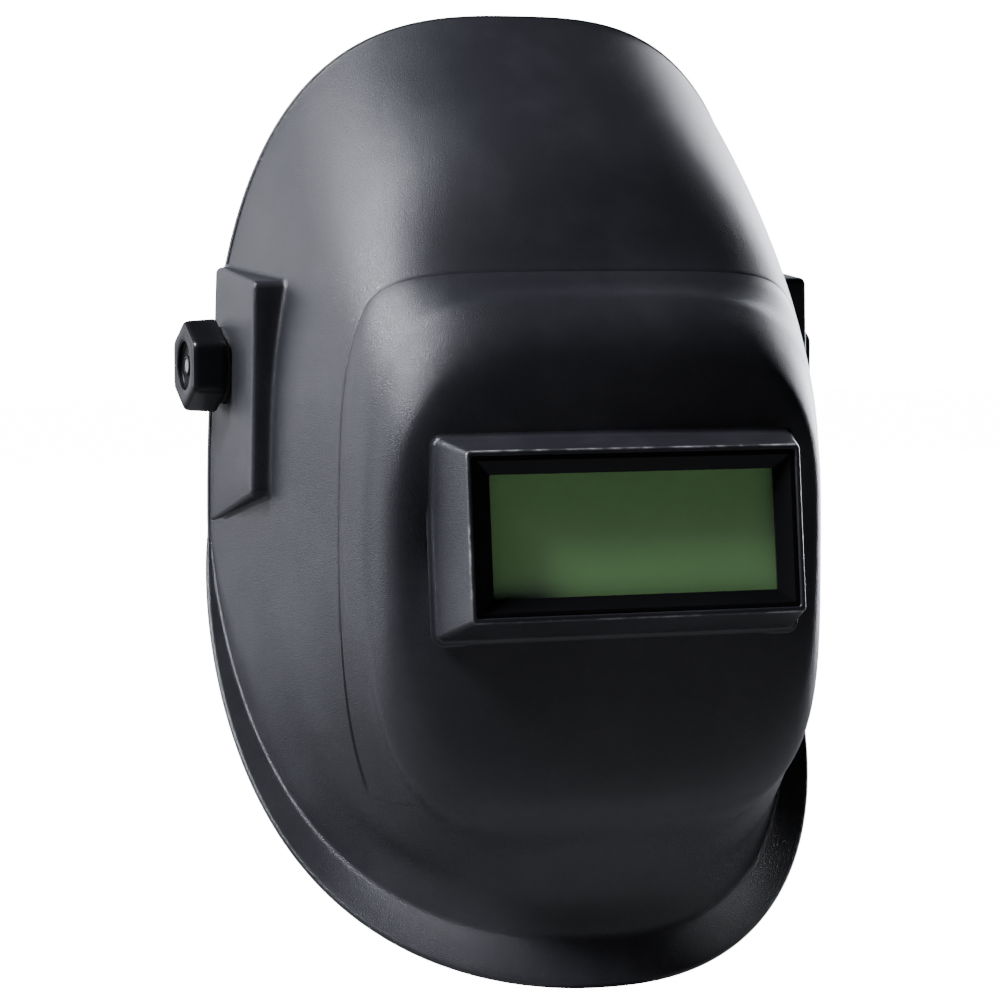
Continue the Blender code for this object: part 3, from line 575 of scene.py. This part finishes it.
def build_bezel():
    rings = []

    def add(half_width, half_height, radius, depth):
        points = rectangle(half_width, half_height, radius)
        rings.append(in_window([(x, depth(x, z) if callable(depth) else depth, z) for x, z in points]))

    # The rim's outer corner rings are tinted pale: partly wear, partly a painted highlight.
    worn_and_highlit = (7, 8)    # the rings on the rim's outer corner
    add(54.4, 25.8, 1.0, 27.0)
    add(54.4, 25.8, 1.0, 4.0)
    add(57.2, 26.2, 1.0, 4.0)
    add(57.2, 26.2, 1.0, 0.5)
    add(57.45, 26.45, 1.1, 0.1)
    add(57.8, 26.8, 1.2, 0.0)
    add(58.3, 27.3, 1.3, 0.0)
    add(58.75, 27.75, 1.4, 0.12)
    add(59.0, 28.0, 1.5, 0.5)
    foot = (63.6, 32.8)
    for t in (0.04, 0.3, 0.6, 0.85, 1.0):
        half_x, half_z = 59.0 + (foot[0] - 59.0) * t, 28.0 + (foot[1] - 28.0) * t
        grow_x, grow_z = foot[0] / half_x, foot[1] / half_z
        add(half_x, half_z, 1.5 + 0.7 * t, lambda x, z, t=t, grow_x=grow_x, grow_z=grow_z:
            0.5 + (skin_depth(x * grow_x, z * grow_z) - BEZEL_FILLET - 0.5) * t)
    for k in range(1, 7):
        a = math.pi / 2 * k / 6
        out, lift = BEZEL_FILLET * (1 - math.cos(a)), BEZEL_FILLET * (1 - math.sin(a))
        add(foot[0] + out, foot[1] + out, 2.2 + out, lambda x, z, lift=lift: skin_depth(x, z) - lift + 0.01)
    out = BEZEL_FILLET + 0.5
    add(foot[0] + out, foot[1] + out, 2.2 + out, lambda x, z: skin_depth(x, z) + 0.4)
    add(61.0, 31.0, 3.0, lambda x, z: skin_depth(x, z) + 1.0)
    add(61.0, 31.0, 3.0, 26.4)
    add(60.4, 30.4, 2.6, 27.0)
    rings = np.array(rings)
    wear_and_highlight = np.zeros(rings.shape[:2])
    wear_and_highlight[list(worn_and_highlit)] = 1.0
    return rings.reshape(-1, 3), ring_faces(len(rings), rings.shape[1], closed=True), wear_and_highlight.ravel()


def build_shell():
    bezel_vertices, bezel_faces, bezel_wear_and_highlight = build_bezel()
    parts = [(skin_vertices, skin_faces), (bezel_vertices, bezel_faces), build_pad(1), build_pad(-1)]
    vertices, faces = join_parts(parts)
    shell = add_mesh("shell_moulding", np.array(vertices) * MM, faces, "shell", "shell", 38.0)
    # Pale rim-edge tint on the bezel: partly wear, partly a painted highlight.
    wear_and_highlight = np.zeros(len(vertices))
    wear_and_highlight[len(skin_vertices):len(skin_vertices) + len(bezel_wear_and_highlight)] = bezel_wear_and_highlight
    mark(shell, "edge_wear_and_highlight", wear_and_highlight)
    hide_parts("helmet_shell")


build_shell()

# ---------------------------------------------------------------- tension knobs


def circle(radius, x, count=96):
    return [(x, radius * math.cos(2 * math.pi * i / count), radius * math.sin(2 * math.pi * i / count))
            for i in range(count)]


def hexagon(corner, x, rounding, count=96):
    """Points at even angles on a six-sided outline with round corners, one corner up."""
    points = []
    inner = corner * math.cos(math.pi / 6)
    centre = corner - 1.1547 * rounding
    for i in range(count):
        angle = 2 * math.pi * i / count
        part = (angle - math.pi / 2 + math.pi / 6) % (math.pi / 3) - math.pi / 6
        flat = inner / math.cos(math.pi / 6 - abs(part))
        near = math.hypot(flat * math.cos(part) - centre, flat * math.sin(part))
        if near > rounding and abs(part) < math.atan2(rounding * 0.5, centre + rounding * 0.866):
            b = -2 * centre * math.cos(part)
            c = centre * centre - rounding * rounding
            flat = (-b + math.sqrt(max(b * b - 4 * c, 0.0))) / 2
        points.append((x, flat * math.cos(angle), flat * math.sin(angle)))
    return points


def build_knob(side, word):
    face, base = 117.6, 105.6
    rings = [
        circle(6.0, base), hexagon(15.4, base, 3.0), hexagon(16.4, base + 0.3, 3.0), hexagon(16.8, base + 1.0, 3.0),
        hexagon(16.75, base + 2.2, 3.0), hexagon(16.3, face - 2.2, 3.0), hexagon(16.1, face - 1.2, 3.1),
        hexagon(15.7, face - 0.5, 3.1), hexagon(15.1, face - 0.12, 3.2), hexagon(14.3, face, 3.2),
        circle(9.3, face), circle(8.9, face - 0.1), circle(8.55, face - 0.45), circle(8.5, face - 1.7),
        circle(8.2, face - 2.0), circle(4.0, face - 2.0), circle(3.6, face - 1.9), circle(3.4, face - 1.6),
        circle(3.35, face - 1.15), circle(3.1, face - 1.0), circle(2.75, face - 1.0), circle(2.6, face - 1.15),
        circle(2.6, base + 1.0),
    ]
    rings = np.array(rings)
    rings[..., 0] *= side
    vertices, faces = join_parts([(rings.reshape(-1, 3), capped_faces(*rings.shape[:2]))])
    knob = add_mesh("clamp_knob_" + word, np.array(vertices) * MM, faces, "knob_plastic", "knob_" + word, 40.0)
    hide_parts("tension_knob_" + word)


build_knob(1, "left")
build_knob(-1, "right")

# ---------------------------------------------------------------- headgear

HEAD_TILT = math.radians(-6.0)
RING, RING_CENTRE_Y = (80.0, 98.0), 30.0
STRIP_REACH, STRIP_HEIGHT, STRIP_IN, STRIP_OUT = 62.0, 34.0, -4.5, -1.25
PAD_BACK, PAD_FRONT, PAD_HALF = 117.5, 112.4, (35.6, 14.6)
KNOB_Y, KNOB_DEEP = 132.8, 11.0
PAD_CHANNELS = (-12.0, 12.0)
STRIP_CHANNELS = (-42.0, -21.0, 0.0, 21.0, 42.0)


def on_head(points):
    """From the headgear's own axes, tipped about X, to the frame's."""
    c, s = math.cos(HEAD_TILT), math.sin(HEAD_TILT)
    points = np.asarray(points, float)
    return np.stack([points[..., 0], points[..., 1] * c - points[..., 2] * s,
                     points[..., 1] * s + points[..., 2] * c], -1)


def off_head(points):
    c, s = math.cos(HEAD_TILT), math.sin(HEAD_TILT)
    points = np.asarray(points, float)
    return np.stack([points[..., 0], points[..., 1] * c + points[..., 2] * s,
                     points[..., 2] * c - points[..., 1] * s], -1)


def brow_point(turn, offset):
    """A point in plan on the band's curve at the brow, turned by an angle in degrees."""
    s, c = np.sin(np.radians(turn)), np.cos(np.radians(turn))
    normal = np.stack([s / RING[0], -c / RING[1]], -1)
    normal /= np.linalg.norm(normal, axis=-1, keepdims=True)
    return np.stack([RING[0] * s, RING_CENTRE_Y - RING[1] * c], -1) + normal * np.asarray(offset)[..., None]


def brow_place(points):
    """Turn in degrees, offset from the band's curve and height, for points in the headgear's axes."""
    turn = np.degrees(np.arctan2(points[:, 0] / RING[0], (RING_CENTRE_Y - points[:, 1]) / RING[1]))
    for _ in range(4):
        here = brow_point(turn, np.zeros(len(turn)))
        ahead = brow_point(turn + 0.5, np.zeros(len(turn)))
        way = ahead - here
        turn = turn + 0.5 * np.sum((points[:, :2] - here) * way, 1) / np.sum(way * way, 1)
    here = brow_point(turn, np.zeros(len(turn)))
    s, c = np.sin(np.radians(turn)), np.cos(np.radians(turn))
    normal = np.stack([s / RING[0], -c / RING[1]], -1)
    normal /= np.linalg.norm(normal, axis=1, keepdims=True)
    return turn, np.sum((points[:, :2] - here) * normal, 1), points[:, 2]


def section_strip(half, low, high, count=28):
    """A flat-backed oval section with thin sewn edges: pairs of offset and height."""
    points = []
    for k in range(count):
        a = 2 * math.pi * k / count
        across = (abs(math.sin(a)) ** 0.75) * (1 if math.sin(a) >= 0 else -1)
        up = (abs(math.cos(a)) ** 0.55) * (1 if math.cos(a) >= 0 else -1)
        depth = (low + high) / 2 + across * (high - low) / 2
        points.append((depth, half * up))
    return np.array(points)


def swell(piece, voxel, cap, keep_back):
    """Blows the closed form up as cloth, holds each point's travel to the cap, and smooths it once."""
    scene = bpy.context.scene
    remesh = piece.modifiers.new("remesh", "REMESH")
    remesh.mode, remesh.voxel_size = "VOXEL", voxel * MM
    settle(piece)
    count = len(piece.data.vertices)
    start = np.empty(count * 3)
    piece.data.vertices.foreach_get("co", start)
    start = start.reshape(-1, 3)
    moved = start.copy()
    cloth = piece.modifiers.new("cloth", "CLOTH")
    setting = cloth.settings
    setting.quality = 6
    setting.mass = 0.2
    setting.use_pressure = True
    setting.uniform_pressure_force = 4.0
    setting.tension_stiffness = setting.compression_stiffness = 12.0
    setting.shear_stiffness = 5.0
    setting.bending_stiffness = 1.0
    setting.effector_weights.gravity = 0.0
    cloth.collision_settings.use_collision = False
    held = piece.vertex_groups.new(name="held")
    held.add([int(i) for i in np.nonzero(keep_back(start / MM))[0]], 1.0, "REPLACE")
    setting.vertex_group_mass = "held"
    for number in range(1, 21):
        scene.frame_set(number)
    shaped = piece.evaluated_get(bpy.context.evaluated_depsgraph_get()).to_mesh()
    flat = np.empty(count * 3)
    shaped.vertices.foreach_get("co", flat)
    moved = flat.reshape(-1, 3)
    piece.modifiers.remove(cloth)
    piece.vertex_groups.clear()
    scene.frame_set(1)
    travel = moved - start
    far = np.linalg.norm(travel, axis=1, keepdims=True)
    travel *= np.minimum(1.0, cap * MM / np.maximum(far, 1e-9))
    piece.data.vertices.foreach_set("co", (start + travel).ravel())
    piece.data.update()
    finer = piece.modifiers.new("finer", "SUBSURF")
    finer.levels = finer.render_levels = 1
    settle(piece)


def settle(piece):
    """Applies the piece's modifiers to its mesh."""
    made = bpy.data.meshes.new_from_object(piece.evaluated_get(bpy.context.evaluated_depsgraph_get()))
    look = piece.data.materials[0]
    old = piece.data
    piece.modifiers.clear()
    piece.data = made
    bpy.data.meshes.remove(old)
    made.materials.clear()
    made.materials.append(look)
    made.shade_smooth()


def reshape(piece, change):
    """Moves every vertex by a function of its place in the headgear's axes, in millimetres."""
    points = np.empty(len(piece.data.vertices) * 3)
    piece.data.vertices.foreach_get("co", points)
    points = off_head(points.reshape(-1, 3) / MM)
    piece.data.vertices.foreach_set("co", (on_head(change(points)) * MM).ravel())
    piece.data.update()


def bowl(value, width):
    return np.exp(-(value / width) ** 2)


def build_sweatband():
    turns = np.linspace(-STRIP_REACH, STRIP_REACH, 61)
    section = section_strip(STRIP_HEIGHT / 2 - 0.4, STRIP_IN + 0.5, STRIP_OUT)
    rings = []
    for turn in turns:
        end = abs(turn) / STRIP_REACH
        tall = (1 - 0.38 * end ** 8) * (1 - 0.02 * math.sin(turn * 0.3))
        thick = 1 - 0.45 * end ** 24
        offset = STRIP_OUT + (section[:, 0] - STRIP_OUT) * thick
        plan = brow_point(np.full(len(section), turn), offset)
        rings.append(np.column_stack([plan, section[:, 1] * tall]))
    rings = on_head(np.array(rings))
    vertices, faces = join_parts([(rings.reshape(-1, 3), capped_faces(*rings.shape[:2]))])
    strip = add_mesh("sweatband_pad", np.array(vertices) * MM, faces, "foam", "headgear")
    swell(strip, 1.4, 0.5, lambda p: brow_place(off_head(p))[1] > STRIP_OUT - 0.5)

    def sew(points):
        turn, offset, height = brow_place(points)
        inner = ease(-2.4, -3.4, offset)
        edge = STRIP_HEIGHT / 2 - 3.2
        dip = 0.85 * bowl(np.abs(height) - edge, 0.9)
        for channel in STRIP_CHANNELS:
            dip = np.maximum(dip, 0.75 * bowl((turn - channel) * 1.6, 1.0) * (np.abs(height) < edge))
        offset = np.clip(offset + dip * inner, STRIP_IN, STRIP_OUT + 0.02)
        plan = brow_point(turn, offset)
        return np.column_stack([plan, height])

    reshape(strip, sew)
    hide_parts("sweatband")
    rows = []
    for height in (-(STRIP_HEIGHT / 2 - 3.2), STRIP_HEIGHT / 2 - 3.2):
        for turn in np.arange(-56.0, 56.1, 2.0):
            a, b = (brow_point(np.array(turn + d), np.array(STRIP_IN + 0.72)) for d in (-0.6, 0.6))
            rows.append(((a[0], a[1], height), (b[0], b[1], height)))
    for channel in STRIP_CHANNELS:
        plan = brow_point(np.array(channel), np.array(STRIP_IN + 0.62))
        for height in np.arange(-11.6, 11.7, 3.3):
            rows.append(((plan[0], plan[1], height - 1.0), (plan[0], plan[1], height + 1.0)))
    stitches("sweatband_stitches", rows)


def stitches(name, rows):
    """Short threads lying in the sewn lines, each a thin closed lozenge."""
    parts = []
    for start, end in rows:
        start, end = np.array(start), np.array(end)
        way = (end - start) / np.linalg.norm(end - start)
        side = np.cross(way, (0.0, 0.0, 1.0) if abs(way[2]) < 0.7 else (1.0, 0.0, 0.0))
        side /= np.linalg.norm(side)
        up = np.cross(side, way)
        rings = []
        for along, radius in ((0.0, 0.08), (0.15, 0.24), (0.5, 0.3), (0.85, 0.24), (1.0, 0.08)):
            middle = start + (end - start) * along
            rings.append([middle + radius * (side * math.cos(a) + up * math.sin(a))
                          for a in (math.pi / 3 * k for k in range(6))])
        rings = on_head(np.array(rings))
        parts.append((rings.reshape(-1, 3), capped_faces(*rings.shape[:2])))
    vertices, faces = join_parts(parts)
    thread = add_mesh(name, np.array(vertices) * MM, faces, "foam", "headgear")
    thread.data.materials[0] = THREAD


def build_rear_pad():
    steps = ((0.0, 0.55, 0.82), (0.25, 0.9, 0.93), (1.0, 1.0, 1.0), (2.4, 1.0, 1.0), (3.6, 0.955, 0.9),
             (4.4, 0.86, 0.74), (4.7, 0.6, 0.42))
    rings = []
    for back, wide, tall in steps:
        ring = []
        for k in range(96):
            a = 2 * math.pi * k / 96
            c, s = math.cos(a), math.sin(a)
            reach = (abs(c) ** 5 + abs(s) ** 5) ** -0.2
            waist = 1 - 0.05 * (1 - abs(s * reach) ** 2) * abs(c) ** 4 - 0.04 * (1 - abs(c * reach) ** 2) * abs(s) ** 4
            ring.append((PAD_HALF[0] * wide * c * reach * waist, PAD_BACK - back,
                         PAD_HALF[1] * tall * s * reach * waist))
        rings.append(ring)
    rings = on_head(np.array(rings))
    vertices, faces = join_parts([(rings.reshape(-1, 3), capped_faces(*rings.shape[:2]))])
    pad = add_mesh("nape_pad", np.array(vertices) * MM, faces, "foam", "headgear")
    swell(pad, 1.3, 1.1, lambda p: off_head(p)[:, 1] > PAD_BACK - 0.5)

    def sew(points):
        front = ease(PAD_BACK - 1.5, PAD_BACK - 3.0, points[:, 1])
        x, z = np.abs(points[:, 0]) / (PAD_HALF[0] - 4.0), np.abs(points[:, 2]) / (PAD_HALF[1] - 4.0)
        rim = (x ** 5 + z ** 5) ** 0.2
        dip = 1.1 * bowl((rim - 1.0) * 12.0, 1.0)
        for channel in PAD_CHANNELS:
            dip = np.maximum(dip, 1.3 * bowl(points[:, 0] - channel, 1.1) * (rim < 1.0))
        points[:, 1] = np.clip(points[:, 1] + dip * front, PAD_FRONT, PAD_BACK)
        return points

    reshape(pad, sew)
    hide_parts("rear_pad")


def build_ratchet_knob():
    def ring(radius, deep, scallop=0.0, count=144):
        points = []
        for k in range(count):
            a = 2 * math.pi * k / count
            near = abs((a * 12 / (2 * math.pi) + 0.5) % 1 - 0.5) / 0.5
            cut = scallop * max(0.0, 1 - (near / 0.62) ** 2) ** 0.8
            points.append(((radius - cut) * math.cos(a), KNOB_Y + deep, (radius - cut) * math.sin(a)))
        return points

    top = KNOB_DEEP
    rings = [
        ring(5.0, 3.5), ring(5.2, 0.2), ring(5.4, 0.0), ring(14.6, 0.0), ring(14.8, 0.3), ring(15.0, 3.3),
        ring(15.3, 3.4), ring(16.4, 0.3), ring(16.6, 0.0), ring(19.2, 0.0), ring(19.8, 0.25), ring(20.0, 0.8),
        ring(20.0, 1.6, 0.0), ring(19.95, 2.1, 1.0), ring(19.9, 2.8, 1.35), ring(19.6, top - 1.6, 1.4),
        ring(19.4, top - 0.9, 1.35), ring(19.0, top - 0.35, 1.2), ring(18.4, top - 0.05, 1.0),
        ring(17.9, top, 0.8), ring(15.2, top, 0.0), ring(14.7, top - 0.1), ring(14.3, top - 0.5), ring(14.1, top - 1.4),
        ring(13.7, top - 1.8), ring(9.0, top - 1.8), ring(8.6, top - 1.7), ring(8.2, top - 1.2), ring(7.7, top - 1.0),
        ring(3.0, top - 0.9), ring(1.2, top - 0.9),
    ]
    rings = on_head(np.array(rings))
    vertices, faces = join_parts([(rings.reshape(-1, 3), capped_faces(*rings.shape[:2]))])
    knob = add_mesh("ratchet_grip_knob", np.array(vertices) * MM, faces, "knob_plastic", "ratchet", 40.0)
    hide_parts("ratchet_knob")


build_sweatband()
build_rear_pad()
build_ratchet_knob()

# ---------------------------------------------------------------- stage and light

FLOOR_SIZE = 4.0
FLOOR_SEEN, FLOOR_UNSEEN = 16.0, 0.13    # glow for the camera, grey for all other light
WORLD_SEEN, WORLD_UNSEEN = 17.0, 0.012
FLOOR_COLOUR = (0.97, 0.97, 0.97)
LAMP_COLOUR = (0.9, 0.92, 1.0)
HELMET_MIDDLE = (0.0, -0.05, -0.04)
HAIR = 0.0005    # how far the lamp below lies above the lowest point


def floor_material(name, colour, strength):
    """White where the camera looks at it and dark grey to all other light."""
    made = bpy.data.materials.new(name)
    made.use_nodes = True
    tree = made.node_tree
    tree.nodes.clear()
    output = tree.nodes.new("ShaderNodeOutputMaterial")
    seen, unseen = tree.nodes.new("ShaderNodeEmission"), tree.nodes.new("ShaderNodeBsdfDiffuse")
    floor = tree.nodes.new("ShaderNodeBsdfDiffuse")
    both, split = tree.nodes.new("ShaderNodeAddShader"), tree.nodes.new("ShaderNodeMixShader")
    path = tree.nodes.new("ShaderNodeLightPath")
    seen.inputs["Color"].default_value = (*colour, 1.0)
    seen.inputs["Strength"].default_value = strength
    floor.inputs["Color"].default_value = (*colour, 1.0)
    unseen.inputs["Color"].default_value = (FLOOR_UNSEEN,) * 3 + (1.0,)
    tree.links.new(seen.outputs[0], both.inputs[0])
    tree.links.new(floor.outputs[0], both.inputs[1])
    tree.links.new(path.outputs["Is Camera Ray"], split.inputs[0])
    tree.links.new(unseen.outputs[0], split.inputs[1])
    tree.links.new(both.outputs[0], split.inputs[2])
    tree.links.new(split.outputs[0], output.inputs["Surface"])
    return made


def make_stage():
    low = cad_box[0][2] - 0.001
    mesh = bpy.data.meshes.new("floor")
    corners = [(FLOOR_SIZE * x, FLOOR_SIZE * y, low) for x, y in ((-1, -1), (1, -1), (1, 1), (-1, 1))]
    mesh.from_pydata(corners, [], [(0, 1, 2, 3)])
    floor = bpy.data.objects.new("floor", mesh)
    bpy.context.scene.collection.objects.link(floor)
    mesh.materials.append(floor_material("pale_floor", FLOOR_COLOUR, FLOOR_SEEN))
    world = bpy.data.worlds.new("studio")
    bpy.context.scene.world = world
    world.use_nodes = True
    tree = world.node_tree
    back = tree.nodes["Background"]
    back.inputs["Color"].default_value = (1.0, 1.0, 1.0, 1.0)
    mix = tree.nodes.new("ShaderNodeMapRange")
    path = tree.nodes.new("ShaderNodeLightPath")
    mix.inputs["To Min"].default_value = WORLD_UNSEEN
    mix.inputs["To Max"].default_value = WORLD_SEEN
    tree.links.new(path.outputs["Is Camera Ray"], mix.inputs["Value"])
    tree.links.new(mix.outputs["Result"], back.inputs["Strength"])


def area_light(name, place, size, power, target=HELMET_MIDDLE):
    lamp = bpy.data.lights.new(name, "AREA")
    lamp.color = LAMP_COLOUR
    lamp.energy = power
    lamp.shape = "RECTANGLE"
    lamp.size, lamp.size_y = size
    holder = bpy.data.objects.new(name, lamp)
    bpy.context.scene.collection.objects.link(holder)
    holder.location = place
    holder.visible_camera = False
    holder.rotation_euler = (Vector(target) - Vector(place)).to_track_quat("-Z", "Y").to_euler()


make_stage()
area_light("key_top", (-1.1, -0.14, 1.08), (0.3, 0.35), 67.0)
area_light("key_left", (-1.2, 0.85, 0.25), (1.0, 1.0), 12.0)
area_light("rim_right", (1.2, 0.75, 0.18), (0.7, 0.9), 37.0)
area_light("backdrop", (0.3, 2.4, 0.6), (3.2, 2.0), 22.0)
area_light("below", (0.1, -0.05, cad_box[0][2] + HAIR), (0.55, 0.5), 0.27, (0.1, -0.05, 0.0))
